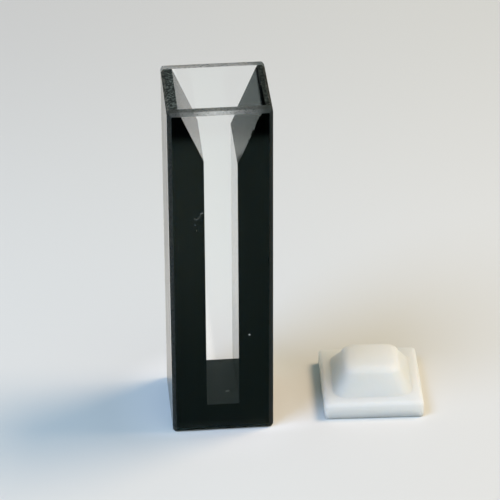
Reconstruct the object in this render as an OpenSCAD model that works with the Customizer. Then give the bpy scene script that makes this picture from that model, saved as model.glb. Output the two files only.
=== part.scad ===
// Self-masking semi-micro cuvette: two clear windows fused over black side
// walls and a black floor block, with a soft white lid that plugs the mouth.
// The cell stands on its underside, +Z up. X runs across the walls, Y along
// the light path. The lid lies upside down beside the cell, on its flat top.

/* [Cell] */
// Outside width, across the two side walls
cell_w = 12.5; // [11:0.1:14]
// Outside depth, from one window's face to the other's
cell_d = 12.5; // [11:0.1:14]
// Outside height
cell_h = 45; // [40:0.5:55]
// Thickness of each window
window_t = 1.25; // [0.9:0.05:1.6]

/* [Chamber] */
// Width of the sample slot between the walls
chamber_w = 4; // [2:0.1:5]
// How far the slot lies off the middle, towards the right wall
chamber_shift = 0.05; // [-0.3:0.05:0.3]
// Height of the chamber floor above the underside
floor_h = 3.4; // [2:0.1:12]
// Lean of the funnel's two sides, from upright, in degrees
funnel_lean = 23.2; // [15:0.2:40]
// Thickness of the left wall at the rim
rim_left = 1.34; // [0.8:0.02:1.6]
// Thickness of the right wall at the rim, before its bevel
rim_right = 0.94; // [0.8:0.02:1.6]
// What the bevel on the right wall's inner edge takes off the rim, at the front
bevel_front = 0.11; // [0.02:0.01:0.3]
// What the same bevel takes off at the back
bevel_back = 0.05; // [0.02:0.01:0.3]
// Slope of that bevel, from level, in degrees
bevel_slope = 60; // [30:1:64]

/* [Ground edges] */
// Flat on each upright outer edge of the windows
upright_flat = 0.45; // [0.1:0.05:0.8]
// Flat on each window's outer top edge
top_flat = 0.37; // [0.1:0.01:0.8]
// Flat on the cell's left and right top edges
side_flat = 0.35; // [0.1:0.05:0.6]
// Flat on the cell's outer bottom edge, all round
foot_flat = 0.3; // [0.1:0.05:0.8]

/* [Lid] */
// Width of the flange, along X
flange_w = 12.4; // [11.5:0.1:14]
// Depth of the flange, along Y
flange_d = 12.9; // [11.5:0.1:14]
// Thickness of the flange
flange_t = 2.2; // [1.2:0.1:2.8]
// Radius of the flange's upright corners
flange_r = 0.4; // [0.2:0.05:1.5]
// Rounding of the edge round the flange's flat top face
face_ease = 0.25; // [0.1:0.05:0.5]
// Rounding of the flange's edge on the plug's side
root_ease = 0.5; // [0.1:0.05:0.7]
// Height of the plug
plug_h = 3; // [2.2:0.1:4.5]
// Gap on each side between the plug's root and the walls at the rim
plug_gap_w = 0.3; // [0.1:0.05:0.6]
// Gap on each side between the plug's root and the windows
plug_gap_d = 0.2; // [0.1:0.05:0.6]
// How far the plug's sides lean in along X, each, up to its top
plug_lean_w = 1.7; // [0.8:0.1:2.2]
// How far the plug's sides lean in along Y, each, up to its top
plug_lean_d = 2.2; // [0.8:0.1:2.4]
// Radius of the plug's four corners at its root
plug_root_r = 1.6; // [0.5:0.1:2]
// Radius of the plug's four corners at its top
plug_top_r = 1.3; // [0.5:0.1:1.8]
// Height over which the plug's sides bend in to its top
plug_crown = 0.9; // [0.4:0.1:1.4]
// How much further in each side ends when it has bent to level
plug_bend = 0.54; // [0.2:0.02:1]
// Radius of the hollow between the plug's root and the flange
plug_hollow = 0.3; // [0.1:0.05:0.4]

/* [Where the lid lies] */
// Gap between the cell's right face and the lid
lid_gap = 6.75; // [2:0.05:15]
// How far behind the cell's middle the lid's middle lies
lid_back = 0.95; // [-3:0.05:3]
// Turn of the lid about the upright axis, in degrees
lid_turn = -2.4; // [-10:0.2:10]

/* [Hidden] */
$fn = 48;
half_w = cell_w / 2;
half_d = cell_d / 2;
path = cell_d - 2 * window_t;
slot_left = chamber_shift - chamber_w / 2;
slot_right = chamber_shift + chamber_w / 2;
mouth_left = rim_left - half_w;
mouth_right = half_w - rim_right;
plug_w = cell_w - rim_left - rim_right - 2 * plug_gap_w;
plug_d = path - 2 * plug_gap_d;
lid_x = half_w + lid_gap + flange_w / 2;
slice_t = 0.01;
hollow_step = 25;
hollow_end = 75;

// A plate with its face on y = 0 and its outside at y = window_t. The plan
// gives it the two upright flats, the side view those along its top and bottom,
// and the front view those at its four corners.
module window_plate() {
    intersection() {
        linear_extrude(cell_h)
            polygon([
                [-half_w, 0],
                [half_w, 0],
                [half_w, window_t - upright_flat],
                [half_w - upright_flat, window_t],
                [upright_flat - half_w, window_t],
                [-half_w, window_t - upright_flat],
            ]);
        rotate([90, 0, 90])
            linear_extrude(cell_w, center = true)
                polygon([
                    [0, 0],
                    [window_t - foot_flat, 0],
                    [window_t, foot_flat],
                    [window_t, cell_h - top_flat],
                    [window_t - top_flat, cell_h],
                    [0, cell_h],
                ]);
        translate([0, window_t, 0])
            rotate([90, 0, 0])
                linear_extrude(window_t)
                    polygon([
                        [foot_flat - half_w, 0],
                        [half_w - foot_flat, 0],
                        [half_w, foot_flat],
                        [half_w, cell_h - side_flat],
                        [half_w - side_flat, cell_h],
                        [side_flat - half_w, cell_h],
                        [-half_w, cell_h - side_flat],
                        [-half_w, foot_flat],
                    ]);
    }
}

module back_window() {
    color([0.86, 0.92, 0.93, 0.3])
        translate([0, path / 2, 0])
            window_plate();
}

module front_window() {
    color([0.86, 0.92, 0.93, 0.3])
        rotate([0, 0, 180])
            translate([0, path / 2, 0])
                window_plate();
}

// A side wall is one upright section, carried along the light path. Its inner
// face is plumb beside the slot, then leans out to the rim: the further the
// rim lies from the slot, the lower the lean starts.
module wall(side, slot, mouth) {
    rotate([90, 0, 0])
        linear_extrude(path, center = true)
            polygon([
                [side * (half_w - foot_flat), 0],
                [slot, 0],
                [slot, cell_h - abs(mouth - slot) / tan(funnel_lean)],
                [mouth, cell_h],
                [side * (half_w - side_flat), cell_h],
                [side * half_w, cell_h - side_flat],
                [side * half_w, foot_flat],
            ]);
}

module left_wall() {
    color([0.07, 0.09, 0.09])
        wall(-1, slot_left, mouth_left);
}

// The bevel is ground off by hand along the inner rim, wider at the front.
module right_wall() {
    bevel_turn = atan((bevel_front - bevel_back) / path);
    bevel_mid = (bevel_front + bevel_back) / 2;
    color([0.07, 0.09, 0.09])
        difference() {
            wall(1, slot_right, mouth_right);
            translate([mouth_right + bevel_mid, 0, cell_h])
                rotate([0, 0, bevel_turn])
                    rotate([0, -bevel_slope, 0])
                        translate([0, 0, cell_w / 2])
                            cube([cell_w, 2 * cell_d, cell_w], center = true);
        }
}

// The floor block closes the slot between the walls.
module base_block() {
    color([0.16, 0.18, 0.18])
        translate([slot_left, -path / 2, 0])
            cube([chamber_w, path, floor_h]);
}

// A thin level slice of the lid with rounded corners. Its sides are drawn in by
// inset from the full width and depth, and its underside is at z.
module slice(w, d, r, inset, z) {
    cut = 2 * (inset + r);
    translate([0, 0, z])
        linear_extrude(slice_t)
            offset(r, $fn = 32)
                square([w - cut, d - cut], center = true);
}

// The flange lies on its flat top face. Both faces' edges are rounded.
module flange() {
    hull() {
        for (a = [0 : 30 : 90])
            slice(flange_w, flange_d, flange_r,
                face_ease * (1 - sin(a)), face_ease * (1 - cos(a)));
        for (a = [0 : 22.5 : 90])
            slice(flange_w, flange_d, flange_r,
                root_ease * (1 - cos(a)), flange_t - slice_t - root_ease * (1 - sin(a)));
    }
}

// One slice of the hollow round the plug's root, a degrees up its curve.
module hollow_slice(a) {
    out = plug_hollow * (1 - sin(a));
    slice(plug_w, plug_d, plug_root_r + out,
        -out, flange_t - slice_t + plug_hollow * (1 - cos(a)));
}

// The plug's sides rise from the hollow, lean in and bend over to its top.
module plug() {
    bend_from = plug_h - plug_crown;
    lean_left = plug_crown / plug_h;
    for (a = [0 : hollow_step : hollow_end - hollow_step])
        hull() {
            hollow_slice(a);
            hollow_slice(a + hollow_step);
        }
    hull() {
        hollow_slice(hollow_end);
        for (a = [0 : 18 : 90]) {
            share = 1 - lean_left * cos(a);
            slice(plug_w - 2 * plug_lean_w * share, plug_d - 2 * plug_lean_d * share,
                plug_top_r, plug_bend * (1 - cos(a)),
                flange_t - slice_t + bend_from + plug_crown * sin(a));
        }
    }
}

module lid() {
    color("white")
        translate([lid_x, lid_back, 0])
            rotate([0, 0, lid_turn]) {
                flange();
                plug();
            }
}

front_window();
back_window();
left_wall();
right_wall();
base_block();
lid();
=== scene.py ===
from math import radians

import bpy
import numpy as np
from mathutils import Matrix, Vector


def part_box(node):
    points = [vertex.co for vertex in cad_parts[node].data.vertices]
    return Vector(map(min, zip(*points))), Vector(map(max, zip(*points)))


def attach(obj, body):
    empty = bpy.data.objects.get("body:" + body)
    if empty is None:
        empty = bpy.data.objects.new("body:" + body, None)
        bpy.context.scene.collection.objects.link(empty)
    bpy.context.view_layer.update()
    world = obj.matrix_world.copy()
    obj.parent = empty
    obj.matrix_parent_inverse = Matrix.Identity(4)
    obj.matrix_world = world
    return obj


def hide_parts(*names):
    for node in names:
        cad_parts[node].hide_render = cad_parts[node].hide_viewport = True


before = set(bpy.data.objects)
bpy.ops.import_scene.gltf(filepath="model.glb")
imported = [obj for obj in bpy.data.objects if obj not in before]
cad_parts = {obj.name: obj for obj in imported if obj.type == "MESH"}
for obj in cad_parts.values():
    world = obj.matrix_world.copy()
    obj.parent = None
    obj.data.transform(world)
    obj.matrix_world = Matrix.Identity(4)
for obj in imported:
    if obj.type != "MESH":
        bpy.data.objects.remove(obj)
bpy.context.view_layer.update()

# ---- Floor block -----------------------------------------------------------
# A block of black glass that closes the slot between the side walls. Its top,
# the chamber's floor, is fine ground; its other faces are fused to the glass
# round it, so it is let into that by a hair.
MM = 0.001
FUSED = 0.01  # how far a black part is let into the glass it is fused to


def node_box(node):
    """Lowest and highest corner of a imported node, in millimetres."""
    low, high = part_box(node)
    return np.array(low) / MM, np.array(high) / MM


class Wire:
    """An output socket. Its arithmetic adds Math nodes, with numbers or wires on either side."""

    def __init__(self, finish, socket):
        self.finish, self.socket = finish, socket

    def _math(self, operation, *terms):
        return self.finish.add("ShaderNodeMath", {"operation": operation}, dict(enumerate(terms)))

    def __add__(self, other):
        return self._math("ADD", self, other)

    def __sub__(self, other):
        return self._math("SUBTRACT", self, other)

    def __rsub__(self, other):
        return self._math("SUBTRACT", other, self)

    def __mul__(self, other):
        return self._math("MULTIPLY", self, other)

    __radd__, __rmul__ = __add__, __mul__

    def __truediv__(self, other):
        return self._math("DIVIDE", self, other)

    def __rtruediv__(self, other):
        return self._math("DIVIDE", other, self)

    def __pow__(self, other):
        return self._math("POWER", self, other)

    def __rpow__(self, other):
        return self._math("POWER", other, self)

    def __lt__(self, other):
        return self._math("LESS_THAN", self, other)

    def __gt__(self, other):
        return self._math("GREATER_THAN", self, other)

    def __abs__(self):
        return self._math("ABSOLUTE", self)

    def least(self, other):
        return self._math("MINIMUM", self, other)

    def most(self, other):
        return self._math("MAXIMUM", self, other)

    def ramp(self, low, high, to_low=0.0, to_high=1.0):
        """Smooth step: to_low at low, to_high at high, eased in between and held beyond."""
        return self.finish.add(
            "ShaderNodeMapRange",
            {"interpolation_type": "SMOOTHSTEP"},
            {"Value": self, "From Min": low, "From Max": high, "To Min": to_low, "To Max": to_high},
        )


class Finish:
    """A material and its node tree, or a world's."""

    def __init__(self, name, holder=None):
        self.holder = holder or bpy.data.materials.new(name)
        self.holder.use_nodes = True
        self.tree = self.holder.node_tree
        self.tree.nodes.clear()

    def add(self, kind, settings=None, inputs=None, out=0):
        """Adds any node: its settings first, then the value or wire of each socket, which is
        named or numbered. What comes back is the wire of the output that out names or numbers."""
        node = self.tree.nodes.new(kind)
        for key, value in (settings or {}).items():
            setattr(node, key, value)
        for key, value in (inputs or {}).items():
            socket = node.inputs[key]
            if isinstance(value, Wire):
                self.tree.links.new(value.socket, socket)
            elif np.ndim(value) == 1 and socket.type == "RGBA":
                socket.default_value = (*value, 1)
            else:
                socket.default_value = value
        return Wire(self, node.outputs[out]) if node.outputs else None

    def place(self):
        """The three Object coordinates, in millimetres, and the vector of them."""
        metres = self.add("ShaderNodeTexCoord", out="Object")
        scale = {"Vector": metres, "Scale": 1 / MM}
        at = self.add("ShaderNodeVectorMath", {"operation": "SCALE"}, scale, out="Vector")
        x, y, z = (
            self.add("ShaderNodeSeparateXYZ", inputs={"Vector": at}, out=axis) for axis in range(3)
        )
        return x, y, z, at

    def noise(self, at, size, detail=2.0, rough=0.5):
        """Cloudy values from 0 to 1 whose patches are about size millimetres across."""
        return self.add(
            "ShaderNodeTexNoise",
            inputs={"Vector": at, "Scale": 1 / size, "Detail": detail, "Roughness": rough},
        )

    def grains(self, at, size):
        """Cells about size millimetres across, each with a value of its own from 0 to 1."""
        colour = self.add(
            "ShaderNodeTexVoronoi", inputs={"Vector": at, "Scale": 1 / size}, out="Color"
        )
        return self.add("ShaderNodeSeparateXYZ", inputs={"Vector": colour})

    def blend(self, share, low, high):
        """A colour that goes from low to high as share goes from 0 to 1."""
        return self.add(
            "ShaderNodeMix", {"data_type": "RGBA"}, {"Factor": share, 6: low, 7: high}, out=2
        )

    def traces(self, u, v, marks):
        """How much dust lies at u, v: the most that any mark leaves there. Each mark is a short
        line, given by its start, its run, its half width and its share at the middle. It fades
        over the outer half of its width with the distance from the nearest point of the line."""
        share = 0.0
        for start_u, start_v, run_u, run_v, half_width, dense in marks:
            along = ((u - start_u) * run_u + (v - start_v) * run_v) / (run_u**2 + run_v**2)
            along = along.least(1.0).most(0.0)
            off_u, off_v = u - start_u - along * run_u, v - start_v - along * run_v
            away = (off_u * off_u + off_v * off_v) ** 0.5
            share = away.ramp(half_width / 2, half_width, dense, 0.0).most(share)
        return share

    def bump(self, height, depth):
        """A normal tilted by a height field whose full range is depth millimetres."""
        return self.add(
            "ShaderNodeBump", inputs={"Height": height, "Distance": depth * MM, "Strength": 1.0}
        )

    def surface(self, **sockets):
        """A Principled shader whose sockets are named with underscores for spaces."""
        return self.add(
            "ShaderNodeBsdfPrincipled", inputs={k.replace("_", " "): v for k, v in sockets.items()}
        )

    def done(self, shader):
        self.add("ShaderNodeOutputMaterial", inputs={"Surface": shader})
        return self.holder


def skin(name, rings, finishes, side=0, ends=(0, 0)):
    """A closed skin over rings[i, j], the j-th point of the i-th ring, in millimetres: quads join
    each ring to the next, and a flat face closes each end. side numbers the quads' finishes, with
    one number for all, one for each j, or one for each i and j; ends numbers those of the ends."""
    count, points = rings.shape[:2]
    grid = np.arange(count * points).reshape(count, points)
    after = np.roll(grid, -1, axis=1)
    quads = np.stack([grid[:-1], after[:-1], after[1:], grid[1:]], axis=-1).reshape(-1, 4)
    mesh = bpy.data.meshes.new(name)
    caps = [grid[0, ::-1].tolist(), grid[-1].tolist()]
    mesh.from_pydata((rings.reshape(-1, 3) * MM).tolist(), [], quads.tolist() + caps)
    numbers = np.append(np.broadcast_to(side, (count - 1, points)).ravel(), ends)
    mesh.polygons.foreach_set("material_index", numbers.astype(np.int32))
    for finish in finishes:
        mesh.materials.append(finish)
    piece = bpy.data.objects.new(name, mesh)
    bpy.context.scene.collection.objects.link(piece)
    return piece


def fused_black():
    """Black glass where it is fused to clear glass: no mirror, only the dark body."""
    fused = Finish("fused_black")
    *_, at = fused.place()
    cloud = fused.noise(at, 1.5)
    return fused.done(
        fused.surface(
            Base_Color=fused.blend(cloud, (0.0012, 0.0018, 0.0017), (0.0022, 0.003, 0.0028)),
            Roughness=0.9,
            Specular_IOR_Level=0.0,
        )
    )


def ground_black(name, grain, dark, light, mirror, specks=()):
    """Black glass ground with grit: facets about grain millimetres across, most of them dark and
    a few of them light. mirror is its specular level. Pale specks may lie on it, placed along X
    and Y."""
    ground = Finish(name)
    x, y, _, at = ground.place()
    sparkle = ground.grains(at, grain) ** 3
    grit = ground.noise(at, grain / 2)
    colour = ground.blend(sparkle, dark, light)
    return ground.done(
        ground.surface(
            Base_Color=ground.blend(ground.traces(x, y, specks), colour, (0.2, 0.2, 0.19)),
            Roughness=grit.ramp(0.3, 0.7, 0.42, 0.6),
            IOR=1.46,
            Specular_IOR_Level=mirror,
            Normal=ground.bump(grit, 0.03),
        )
    )


FUSED_BLACK = fused_black()
GROUND_FLOOR = ground_black(
    "ground_floor",
    0.12,
    (0.006, 0.009, 0.009),
    (0.014, 0.018, 0.018),
    0.3,
    specks=[(0.75, -2.2, 0.15, 0.05, 0.26, 1.0)],
)

block_low, block_high = node_box("base_block")
floor_h = block_high[2]
slot_left, slot_right, path = block_low[0], block_high[0], block_high[1] - block_low[1]
half_path = path / 2

block_x = np.array([slot_left - FUSED, slot_right + FUSED, slot_right + FUSED, slot_left - FUSED])
block_y = (half_path + FUSED) * np.array([-1, -1, 1, 1])
block_z = np.array([[0.0], [floor_h]])
block_rings = np.stack(np.broadcast_arrays(block_x, block_y, block_z), axis=-1)
# its foot and its top are ground
block = skin("floor_block", block_rings, [FUSED_BLACK, GROUND_FLOOR], ends=(1, 1))
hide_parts("base_block")
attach(block, "root")

# ---- Side walls ------------------------------------------------------------
# Bars of black glass, polished outside, beside the slot and on the funnel's
# lean, and fine ground on the rim. The right one was worked over by hand: its
# lean is a shade duller, its inner rim bevelled and its front edge chipped.
_, wall_high = node_box("right_wall")
cell_h = wall_high[2]
half_w = wall_high[0]
rim_left, rim_right = 1.34, 0.94
lean = radians(23.2)  # of the funnel's sides, from upright
bevel_front, bevel_back, bevel_slope = 0.11, 0.05, radians(60)  # widths, and slope from level
side_flat, foot_flat = 0.35, 0.3  # flats on the outer edges, at the rim and at the foot
mouth_left, mouth_right = rim_left - half_w, half_w - rim_right
# heights at which the leans start
start_left = cell_h - (slot_left - mouth_left) / np.tan(lean)
start_right = cell_h - (mouth_right - slot_right) / np.tan(lean)


def polished_black(name, dull):
    """Black glass with a polished face, faintly uneven in its polish: dull is its roughness."""
    polished = Finish(name)
    *_, at = polished.place()
    cloud = polished.noise(at, 2.5, detail=3.0)
    return polished.done(
        polished.surface(
            Base_Color=polished.blend(cloud, (0.0015, 0.002, 0.002), (0.003, 0.004, 0.0038)),
            Roughness=cloud.ramp(0.35, 0.7, dull, dull + 0.04),
            IOR=1.46,
        )
    )


def bevel_black():
    """Black glass that is polished at the front and ground towards the back, eased along Y."""
    bevel = Finish("bevel_black")
    _, y, _, at = bevel.place()
    worn = y.ramp(-3.5, 4)
    return bevel.done(
        bevel.surface(
            Base_Color=bevel.blend(
                bevel.grains(at, 0.18) ** 2 * worn, (0.0004, 0.0008, 0.0006), (0.035, 0.043, 0.038)
            ),
            Roughness=worn.ramp(0, 1, 0.03, 0.4),
            IOR=1.46,
            Specular_IOR_Level=0.05,
        )
    )


POLISHED_BLACK = polished_black("polished_black", 0.03)
RIGHT_LEAN = polished_black("right_lean", 0.1)
OUTER_BLACK = polished_black("outer_black", 0.2)
LEFT_RIM = ground_black("left_rim", 0.18, (0.002, 0.005, 0.005), (0.108, 0.134, 0.126), 0.07)
# The outer flats carry painted shade: their tones differ from side to side to offset how the lamps
# fall on them, the left one warmed against the cool lamp and the right one darkened against the
# warm lamp.
PAINTED_SHADE_LEFT_EDGE = ground_black("painted_shade_left_edge", 0.18, (0.010, 0.011, 0.008), (0.18, 0.18, 0.145), 0.08)
RIGHT_RIM = ground_black("right_rim", 0.18, (0.0005, 0.002, 0.0015), (0.056, 0.068, 0.057), 0.04)
PAINTED_SHADE_RIGHT_EDGE = ground_black("painted_shade_right_edge", 0.18, (0.002, 0.004, 0.003), (0.13, 0.137, 0.127), 0.06)
# places in each bar's list of finishes
SLOT_FACE, RIM, DARK_FACE, OUTER_FACE, OUTER_EDGE, LEAN_FACE, BEVEL = range(7)


def wall_rings(stations, x, z):
    """Upright sections, one row of x and z each, set one behind the other at the stations along
    the light path."""
    return np.stack(np.broadcast_arrays(x, stations[:, None], z), axis=-1)


def outer_side(y):
    """The outer end of the rim, the top and the foot of the outer face and the outer end of the
    underside, as x and z of the right bar. Where it is let into a window, past half the light
    path, it is drawn in by a hair."""
    flat, drawn = 0 * y, FUSED * (abs(y) > half_path)
    x = [half_w - side_flat + flat, half_w - drawn, half_w - drawn, half_w - foot_flat + flat]
    z = [cell_h - drawn, cell_h - side_flat + flat, foot_flat + flat, flat]
    return x, z


def left_section(y):
    """The outer side mirrored, from the foot up, then the rim's inner end, the start of the lean
    and the slot's foot."""
    x, z = outer_side(y)
    flat = 0 * y
    x = [-column for column in x[::-1]] + [mouth_left + flat, slot_left + flat, slot_left + flat]
    z = z[::-1] + [z[0], start_left + flat, flat]
    return np.concatenate(x, axis=1), np.concatenate(z, axis=1)


stations = np.array([-half_path - FUSED, -half_path, half_path, half_path + FUSED])
left = skin(
    "wall_left",
    wall_rings(stations, *left_section(stations[:, None])),
    [POLISHED_BLACK, LEFT_RIM, FUSED_BLACK, OUTER_BLACK, PAINTED_SHADE_LEFT_EDGE],
    [OUTER_EDGE, OUTER_FACE, OUTER_EDGE, RIM, SLOT_FACE, SLOT_FACE, RIM],
    (DARK_FACE, DARK_FACE),
)
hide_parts("left_wall")
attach(left, "root")

lean_steps = np.linspace(0, 1, 120)
bevel_round, round_steps = 0.25, np.linspace(0, 1, 7)[1:]  # half height of the change of slope
# each chip: its height, its reach along the edge and back from it, and its depth
chips = np.array([(43.05, 0.8, 0.38, 0.12), (41.52, 0.42, 0.42, 0.12), (40.5, 0.14, 0.35, 0.08)])
broken_depth = 0.004  # from here on the face counts as broken


def right_section(y):
    """As the left bar, mirrored, with the lean cut into short steps and the bevel above it. Where
    they meet, the slope changes evenly with the height. Each chip is a bowl. Its depth goes as
    the power 0.6 of what is left of one less the fourth power of the way along the edge and the
    square of the way back from it, as shares of its reach, which two sines make ragged."""
    width = bevel_front + (bevel_back - bevel_front) * np.clip((y + half_path) / path, 0, 1)
    turn = 1 / np.tan(bevel_slope) - np.tan(lean)
    foot_z = cell_h - width / turn - bevel_round
    foot_x = mouth_right - (cell_h - foot_z) * np.tan(lean)
    lean_z = start_right + (foot_z - start_right) * lean_steps
    lean_x = slot_right + (foot_x - slot_right) * lean_steps
    rise = 2 * bevel_round * round_steps
    round_z = foot_z + rise
    round_x = foot_x + rise * np.tan(lean) + turn * rise**2 / bevel_round / 4
    height = lean_z[..., None]
    along = (height - chips[:, 0]) / (chips[:, 1] * np.cos(lean))
    back = (np.clip(y, -half_path, half_path) + half_path)[..., None] / chips[:, 2]
    ragged = 1 + 0.25 * np.sin(31 * height + 5 * back) + 0.15 * np.sin(73 * height + 2)
    left_over = np.clip(1 - (along**4 + back**2) * ragged, 0, None)
    depth = (chips[:, 3] * left_over**0.6).max(axis=-1)
    lean_x, lean_z = lean_x + depth * np.cos(lean), lean_z - depth * np.sin(lean)
    outer_x, outer_z = outer_side(y)
    x = np.concatenate([slot_right + 0 * y, lean_x, round_x, mouth_right + width, *outer_x], axis=1)
    z = np.concatenate([0 * y, lean_z, round_z, outer_z[0], *outer_z], axis=1)
    return x, z, depth > broken_depth


chip_stations = -half_path + np.linspace(0, 0.6, 21)  # close, over the reach of the chips
far_stations = np.append(np.linspace(-3.6, half_path, 5), half_path + FUSED)
right_stations = np.concatenate([[-half_path - FUSED], chip_stations, far_stations])
right_x, right_z, broken = right_section(right_stations[:, None])
lean_end = len(lean_steps) + len(round_steps)
right_side = np.full((len(right_stations) - 1, right_x.shape[1]), SLOT_FACE)
right_side[:, 1:lean_end] = LEAN_FACE
right_side[:, lean_end:] = [BEVEL, RIM, OUTER_EDGE, OUTER_FACE, OUTER_EDGE, RIM]
right_side[:, 1 : len(lean_steps)][broken[:-1, :-1] | broken[1:, 1:]] = DARK_FACE
right = skin(
    "wall_right",
    wall_rings(right_stations, right_x, right_z),
    [POLISHED_BLACK, RIGHT_RIM, FUSED_BLACK, OUTER_BLACK, PAINTED_SHADE_RIGHT_EDGE, RIGHT_LEAN, bevel_black()],
    right_side,
    (DARK_FACE, DARK_FACE),
)
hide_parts("right_wall")
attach(right, "root")

# ---- Windows ---------------------------------------------------------------
# Two clear plates, polished on both faces, with flats ground by hand on the
# outer edges and fine ground ends. They are fused over the black bars. A little
# dust and lint lies on the front one.
window_low, window_high = node_box("back_window")
window_t = window_high[1] - window_low[1]
top_flat = 0.37
rub = 0.03  # rounding of every arris
top_steps = 6  # rows of quads over the top edge's flats


def clear_polished(name, dust=()):
    """Clear glass with polished faces, faintly smeared. Marks of dust and lint may lie on the
    front one's outer face, placed along X and Z."""
    clear = Finish(name)
    x, y, z, at = clear.place()
    smear = clear.noise(at, 3.0, detail=4.0, rough=0.6)
    glass = clear.surface(
        Base_Color=(0.985, 0.995, 0.99),
        Roughness=smear.ramp(0.45, 0.8, 0.0, 0.03),
        IOR=1.46,
        Transmission_Weight=1.0,
        Specular_Tint=(0.43, 0.61, 0.54),
    )
    if not dust:
        return clear.done(glass)
    fluff = clear.surface(Base_Color=(0.8, 0.8, 0.78), Roughness=0.9)
    share = (y < rub - window_t - half_path) * clear.traces(x, z, dust)
    return clear.done(clear.add("ShaderNodeMixShader", inputs={0: share, 1: glass, 2: fluff}))


def clear_ground(name, dull, tint, milk):
    """The same glass where it is fine ground: frosted, with a fine grain, and darker towards the
    cell's right side. dull is its least and greatest roughness, tint the colour of its mirror and
    milk its share of white bloom."""
    frosted = Finish(name)
    x, *_, at = frosted.place()
    grit = frosted.noise(at, 0.3, detail=3.0, rough=0.7)
    sparkle = frosted.grains(at, 0.18) ** 0.4 * x.ramp(4.0, 5.6, 1.0, 0.0)
    return frosted.done(
        frosted.surface(
            Base_Color=frosted.blend(sparkle, (0.2, 0.24, 0.23), (1.0, 1.0, 1.0)),
            Roughness=grit.ramp(0.3, 0.7, *dull),
            IOR=1.46,
            Transmission_Weight=1 - milk,
            Specular_Tint=tint,
            Normal=frosted.bump(grit, 0.02),
        )
    )


def window_rings(flats_low, flats_high):
    """Level sections of a plate whose outer face is at y = window_t, from the foot up: each is a
    rectangle less a flat at its left and its right outer corner. The flats' sizes at the foot and
    at the top are given, and run evenly from one to the other. Towards the foot and the top the
    plate's ends and its outer face draw in one for one with the height."""
    top = np.linspace(cell_h - max(top_flat, side_flat), cell_h, top_steps + 1)
    level = np.concatenate([[0, foot_flat], top])[:, None]
    foot_cut = np.clip(foot_flat - level, 0, None)
    end = half_w - foot_cut - np.clip(level - cell_h + side_flat, 0, None)
    face = window_t - foot_cut - np.clip(level - cell_h + top_flat, 0, None)
    share = level / cell_h
    corners = []
    for low, high in zip(flats_low, flats_high):
        reach = half_w + window_t - (1 - share) * low - share * high
        corners.append((np.minimum(reach - face, end - rub), np.minimum(reach - end, face - rub)))
    (left_x, left_y), (right_x, right_y) = corners
    x = np.concatenate([-end, end, end, right_x, -left_x, -end], axis=1)
    y = np.concatenate([0 * end, 0 * end, right_y, face, face, left_y], axis=1)
    return x, y, level + 0 * x


CLEAR_POLISHED = clear_polished("clear_polished")
CLEAR_FRONT = clear_polished(
    "clear_front",
    dust=[
        (-2.16, 31.46, -0.26, -0.10, 0.07, 0.24),
        (-2.42, 31.36, -0.15, -0.55, 0.06, 0.09),
        (-2.57, 30.81, -0.41, -0.28, 0.07, 0.11),
        (-2.98, 30.53, -0.25, 0.21, 0.06, 0.12),
        (-3.15, 29.79, 0.05, 0.02, 0.08, 0.12),
        (-2.98, 29.01, 0.05, 0.02, 0.08, 0.15),
        (-5.19, 26.98, 0.03, -0.42, 0.10, 0.07),
        (4.69, 37.60, 0.0, -0.30, 0.08, 0.07),
        (4.72, 37.58, 0.18, 0.03, 0.07, 0.05),
        (3.29, 13.90, 0.01, 0.0, 0.11, 1.0),
    ],
)
FRONT_GROUND = clear_ground("front_ground", (0.5, 0.8), (0.8, 1.0, 0.95), 0.01)
FRONT_FLAT = clear_ground("front_flat", (0.45, 0.7), (0.8, 1.0, 0.95), 0.05)
BACK_GROUND = clear_ground("back_ground", (0.47, 0.73), (0.8, 1.0, 0.95), 0.05)
STRIP_GROUND = clear_ground("strip_ground", (0.5, 0.75), (0.3, 0.42, 0.38), 0.0)
# Places in each plate's list of finishes. A row of quads starts at the fused face and goes on
# over the right end, the right flat, the outer face, the left flat and the left end.
POLISH, GROUND, LEFT_FLAT, TOP_FLAT = range(4)
foot_row = [POLISH, GROUND, GROUND, GROUND, GROUND, GROUND]
upright_row = [POLISH, POLISH, GROUND, POLISH, LEFT_FLAT, POLISH]
top_row = [POLISH, GROUND, GROUND, TOP_FLAT, GROUND, GROUND]
window_side = np.array([foot_row, upright_row] + top_steps * [top_row])
# The front plate is the back one turned half round, so its left end is on the cell's right.
for name, node, turn, flats_low, flats_high, finishes in (
    (
        "window_front",
        "front_window",
        -1,
        (0.56, 0.42),
        (0.43, 0.51),
        (CLEAR_FRONT, FRONT_GROUND, STRIP_GROUND, FRONT_FLAT),
    ),
    (
        "window_back",
        "back_window",
        1,
        (0.45, 0.45),
        (0.45, 0.45),
        (CLEAR_POLISHED, BACK_GROUND, BACK_GROUND, BACK_GROUND),
    ),
):
    x, y, z = window_rings(flats_low, flats_high)
    rings = np.stack([turn * x, turn * (y + half_path), z], axis=-1)
    window = skin(name, rings, finishes, window_side, (GROUND, GROUND))
    rounding = window.modifiers.new("arris", "BEVEL")
    rounding.width, rounding.segments, rounding.limit_method = rub * MM, 2, "ANGLE"
    rounding.material = GROUND
    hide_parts(node)
    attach(window, "root")

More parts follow.
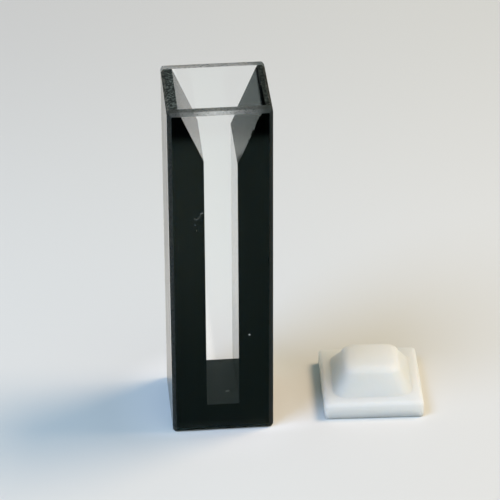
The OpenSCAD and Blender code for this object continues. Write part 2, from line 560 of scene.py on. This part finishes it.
# ---- Lid -------------------------------------------------------------------
# A moulded cap of soft white fluoroplastic, upside down on its flat top: a
# square flange and a tapered plug, with a small hollow round the plug's root.
flange_w, flange_d, flange_t, flange_r = 12.4, 12.9, 2.2, 0.4
face_ease, root_ease = 0.25, 0.5  # rounding of the flange's flat face and of its plug side
plug_gap_w, plug_gap_d = 0.3, 0.2  # on each side between the plug's root and the cell's mouth
plug_w = 2 * half_w - rim_left - rim_right - 2 * plug_gap_w
plug_d = path - 2 * plug_gap_d
plug_h, plug_lean_w, plug_lean_d = 3.0, 1.7, 2.2
plug_root_r, plug_top_r = 1.6, 1.3
hollow_r = 0.3
crown, bend_in = 0.9, 0.54  # height and reach of the bend over to the plug's top
lid_gap, lid_back, lid_turn = 6.75, 0.95, radians(-2.4)
lid_x = half_w + lid_gap + flange_w / 2


def arc(start, end, steps):
    """Evenly spaced angles, from start to end in degrees."""
    return np.radians(np.linspace(start, end, steps))


def lid_profile():
    """The cap's profile from the edge of its flat top face out, up and over the plug: rows of
    half width, half depth, corner radius and height. Each rounding draws in or out by its radius
    times one less the cosine or the sine of its angle. The plug's sides lean in evenly with the
    height, then bend over: in by the cosine and up by the sine."""
    foot, shoulder, hollow, bend = arc(-90, 0, 6), arc(0, 90, 9), arc(0, 75, 8), arc(0, 90, 12)
    foot_in, shoulder_in = face_ease * (1 - np.cos(foot)), root_ease * (1 - np.cos(shoulder))
    hollow_out = hollow_r * (1 - np.sin(hollow))
    share, bent_in = 1 - crown / plug_h * np.cos(bend), bend_in * (1 - np.cos(bend))
    half_flange = np.array([[flange_w], [flange_d]]) / 2
    half_plug = np.array([[plug_w], [plug_d]]) / 2
    lean_in = np.array([[plug_lean_w], [plug_lean_d]]) * share
    rows = [
        (*(half_flange - foot_in), flange_r + 0 * foot, face_ease * (1 + np.sin(foot))),
        (
            *(half_flange - shoulder_in),
            flange_r + 0 * shoulder,
            flange_t - root_ease * (1 - np.sin(shoulder)),
        ),
        (
            *(half_plug + hollow_out),
            plug_root_r + hollow_out,
            flange_t + hollow_r * (1 - np.cos(hollow)),
        ),
        (
            *(half_plug - lean_in - bent_in),
            plug_top_r + 0 * bend,
            flange_t + plug_h - crown + crown * np.sin(bend),
        ),
    ]
    return [np.concatenate(column) for column in zip(*rows)]


def lid_rings():
    """Round-cornered rectangles, one for each row of the profile. Each is four quarters, turned
    by a right angle from one to the next: a quarter circle round the corner, then a straight side
    from 1 to -1 times the half width or depth less the corner radius."""
    steps = 7
    corner = np.ones(steps)
    run, edge = np.append(corner, np.linspace(1, -1, steps + 2)[1:-1]), np.append(corner, corner)
    across = np.concatenate([run, -edge, -run, edge])
    back = np.concatenate([edge, run, -edge, -run])
    right_angle = np.pi / 2
    first_quarter = np.append(arc(0, 90, steps), corner * right_angle)
    angle = (first_quarter + right_angle * np.arange(4)[:, None]).ravel()
    w, d, r, h = (column[:, None] for column in lid_profile())
    x = across * (w - r) + r * np.cos(angle)
    y = back * (d - r) + r * np.sin(angle)
    turned_x = lid_x + x * np.cos(lid_turn) - y * np.sin(lid_turn)
    turned_y = lid_back + x * np.sin(lid_turn) + y * np.cos(lid_turn)
    return np.stack([turned_x, turned_y, h + 0 * x], axis=-1)


def white_plastic():
    """Soft white fluoroplastic: waxy, with a faint mottle and fine scuffs."""
    white = Finish("white_plastic")
    *_, at = white.place()
    mottle = white.noise(at, 1.2, detail=3.0)
    grain = white.noise(at, 0.15, detail=2.0)
    return white.done(
        white.surface(
            Base_Color=white.blend(mottle, (0.808, 0.818, 0.798), (0.832, 0.842, 0.822)),
            Roughness=mottle.ramp(0.3, 0.7, 0.42, 0.56),
            IOR=1.38,
            Subsurface_Weight=1.0,
            Subsurface_Radius=(0.005, 0.0045, 0.004),
            Subsurface_Scale=1.0,
            Normal=white.bump(grain, 0.01),
        )
    )


lid = skin("lid_cap", lid_rings(), [white_plastic()])
lid.data.shade_smooth()
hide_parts("lid")
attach(lid, "root")

# ---- Floor, light and camera -----------------------------------------------
# White paper, a wide level disc. What the glass mirrors of it is painted dark from a hand's
# breadth in front of the cell on, where the paper's mirror image in the window ends. A warm lamp
# stands to the right and a broad cool one to the left in front, and the room gives the rest.
# Past this the paper's painted reflection is dark; the paper itself goes on.
PAINTED_REFLECTION_END = -78.0  # along Y, in millimetres


def seen_directly(finish):
    """1 for what the camera sees, also in a mirror or through glass, before any diffuse bounce,
    and 0 for what lights a surface."""
    rays = "ShaderNodeLightPath"
    seen = (
        finish.add(rays, out="Is Camera Ray")
        .most(finish.add(rays, out="Is Glossy Ray"))
        .most(finish.add(rays, out="Is Transmission Ray"))
    )
    return seen * (finish.add(rays, out="Diffuse Depth") < 0.5)


def paper():
    """Matt white paper with painted light and shade: a little greyer far off, bluer on the left and
    warmer on the right, and paler round the cell, which lifts the shade at its foot. What the glass
    mirrors or lets through of it is a painted reflection with light and shade of its own. In front
    it is painted dim at the cell, paler towards its end and dark past that. Behind it is painted
    darker
    with the distance: straight behind the cell in three bands along Y, and beside them differently
    on the left and on the right."""
    sheet = Finish("paper")
    x, y, *_ = sheet.place()
    # Painted light and shade on the paper: greyer far off, bluer on the left and warmer on the
    # right.
    far, right = y.ramp(0, 130), x.ramp(-40, 60)
    colour = sheet.blend(
        far,
        sheet.blend(right, (0.747, 0.782, 0.806), (0.802, 0.795, 0.771)),
        sheet.blend(right, (0.589, 0.595, 0.597), (0.660, 0.653, 0.617)),
    )
    away = (x * x + y * y) ** 0.5
    # Painted light: the paper is paler round the cell, less so in front, which lifts the shade at
    # its foot.
    painted_light_round_cell = away.ramp(8, 15, 0.75, 0.0) * y.ramp(-8, -6, 0.3, 1.0)
    colour = sheet.blend(painted_light_round_cell, colour, (0.93, 0.96, 0.99))
    # Painted reflection in front: dim at the cell, paler towards the paper's end and painted dark
    # past it.
    glow = y.ramp(-62, -12, 1.0, 0.0) * x.ramp(0, 9, 1.0, 0.4)
    front = sheet.blend(glow, (0.263, 0.32, 0.331), (0.70, 0.70, 0.70))
    front = sheet.blend(y.ramp(PAINTED_REFLECTION_END - 3, PAINTED_REFLECTION_END + 1), (0.004, 0.005, 0.005), front)
    # Painted reflection behind the cell: darker with the distance, in bands straight behind it and
    # differently on the left and on the right beside it.
    on_left = sheet.blend(x.ramp(-60, -51), (0.36, 0.42, 0.41), (0.50, 0.56, 0.55))
    on_right = sheet.blend(x.ramp(31.3, 33.3), (0.77, 0.775, 0.755), (0.60, 0.62, 0.60))
    beside = sheet.blend(x.ramp(-20, 20), on_left, on_right)
    beside = sheet.blend((y + x * 0.3).ramp(89, 108), (0.95, 0.95, 0.92), beside)
    beside = sheet.blend(y.ramp(155, 190), beside, (0.01, 0.012, 0.012))
    left_band = sheet.blend(y.ramp(15, 78), (1.0, 1.0, 0.97), (0.72, 0.72, 0.70))
    middle_band = sheet.blend(y.ramp(20, 70), (1.0, 1.0, 0.98), (0.90, 0.92, 0.92))
    right_band = sheet.blend(far, (0.83, 0.85, 0.85), (0.64, 0.65, 0.64))
    right_band = sheet.blend(y.ramp(10, 40), (0.83, 0.835, 0.83), right_band)
    straight = sheet.blend(x.ramp(-6, -4.5), left_band, middle_band)
    straight = sheet.blend(x.ramp(-0.4, 0.7), straight, right_band)
    behind = sheet.blend(abs(x - 3).ramp(15, 20), straight, beside)
    painted_reflection = sheet.blend(y.ramp(-9, -6), front, behind)
    in_glass = sheet.add("ShaderNodeLightPath", out="Is Glossy Ray")
    colour = sheet.blend(in_glass, colour, painted_reflection)
    return sheet.done(sheet.add("ShaderNodeBsdfDiffuse", inputs={"Color": colour}))


reach, corners = 3.0, 96  # the paper is a level disc with this radius, in metres
around = np.linspace(0, 2 * np.pi, corners + 1)[:-1]
outline = np.stack([reach * np.cos(around), reach * np.sin(around), 0 * around], axis=-1)
disc = bpy.data.meshes.new("paper")
disc.from_pydata(outline.tolist(), [], [list(range(corners))])
disc.materials.append(paper())
floor = bpy.data.objects.new("paper", disc)
bpy.context.scene.collection.objects.link(floor)


def sun(name, from_azimuth, elevation, spread, colour):
    """A far lamp that shines from from_azimuth, counted from +X towards +Y, and elevation, and
    fills spread degrees of the sky. colour is what it adds to white paper lying level."""
    lamp = bpy.data.lights.new(name, "SUN")
    white_level = np.pi / np.sin(radians(elevation))
    lamp.energy = white_level * max(colour)
    lamp.color = [c / max(colour) for c in colour]
    lamp.angle = radians(spread)
    holder = bpy.data.objects.new(name, lamp)
    holder.rotation_euler = (0, radians(90 - elevation), radians(from_azimuth))
    bpy.context.scene.collection.objects.link(holder)


sun("warm_lamp", 12, 57, 24, (0.474, 0.338, 0.219))
sun("cool_lamp", 208, 50, 30, (0.197, 0.268, 0.405))

world = bpy.data.worlds.new("room")
bpy.context.scene.world = world
room = Finish("room", world)
outward = room.add("ShaderNodeTexCoord", out="Generated")
to_right, to_back = (
    room.add("ShaderNodeSeparateXYZ", inputs={"Vector": outward}, out=axis) for axis in range(2)
)
# what the room sheds from behind and above, from the front, the right and the left
ambient = room.blend((0 - to_back).most(0.0), (0.02, 0.05, 0.03), (0.80, 0.75, 0.62))
ambient = room.blend(to_right.most(0.0), ambient, (0.60, 0.74, 0.72))
ambient = room.blend((0 - to_right).most(0.0), ambient, (0.38, 0.53, 0.55))
seen_or_shed = room.blend(seen_directly(room), ambient, (0.62, 0.625, 0.61))
background = room.add("ShaderNodeBackground", inputs={"Color": seen_or_shed, "Strength": 1.0})
room.add("ShaderNodeOutputWorld", inputs={"Surface": background})

camera = bpy.data.objects.new("camera", bpy.data.cameras.new("camera"))
camera.data.lens = 230.43
camera.location = (-0.0245219, -0.3321422, 0.2263025)
camera.rotation_euler = (radians(58.5157), radians(0.2345), radians(-5.0424))
camera.data.clip_start, camera.data.clip_end = 0.01, 10
bpy.context.scene.collection.objects.link(camera)
bpy.context.scene.camera = camera
bpy.context.scene.view_settings.view_transform = "Standard"
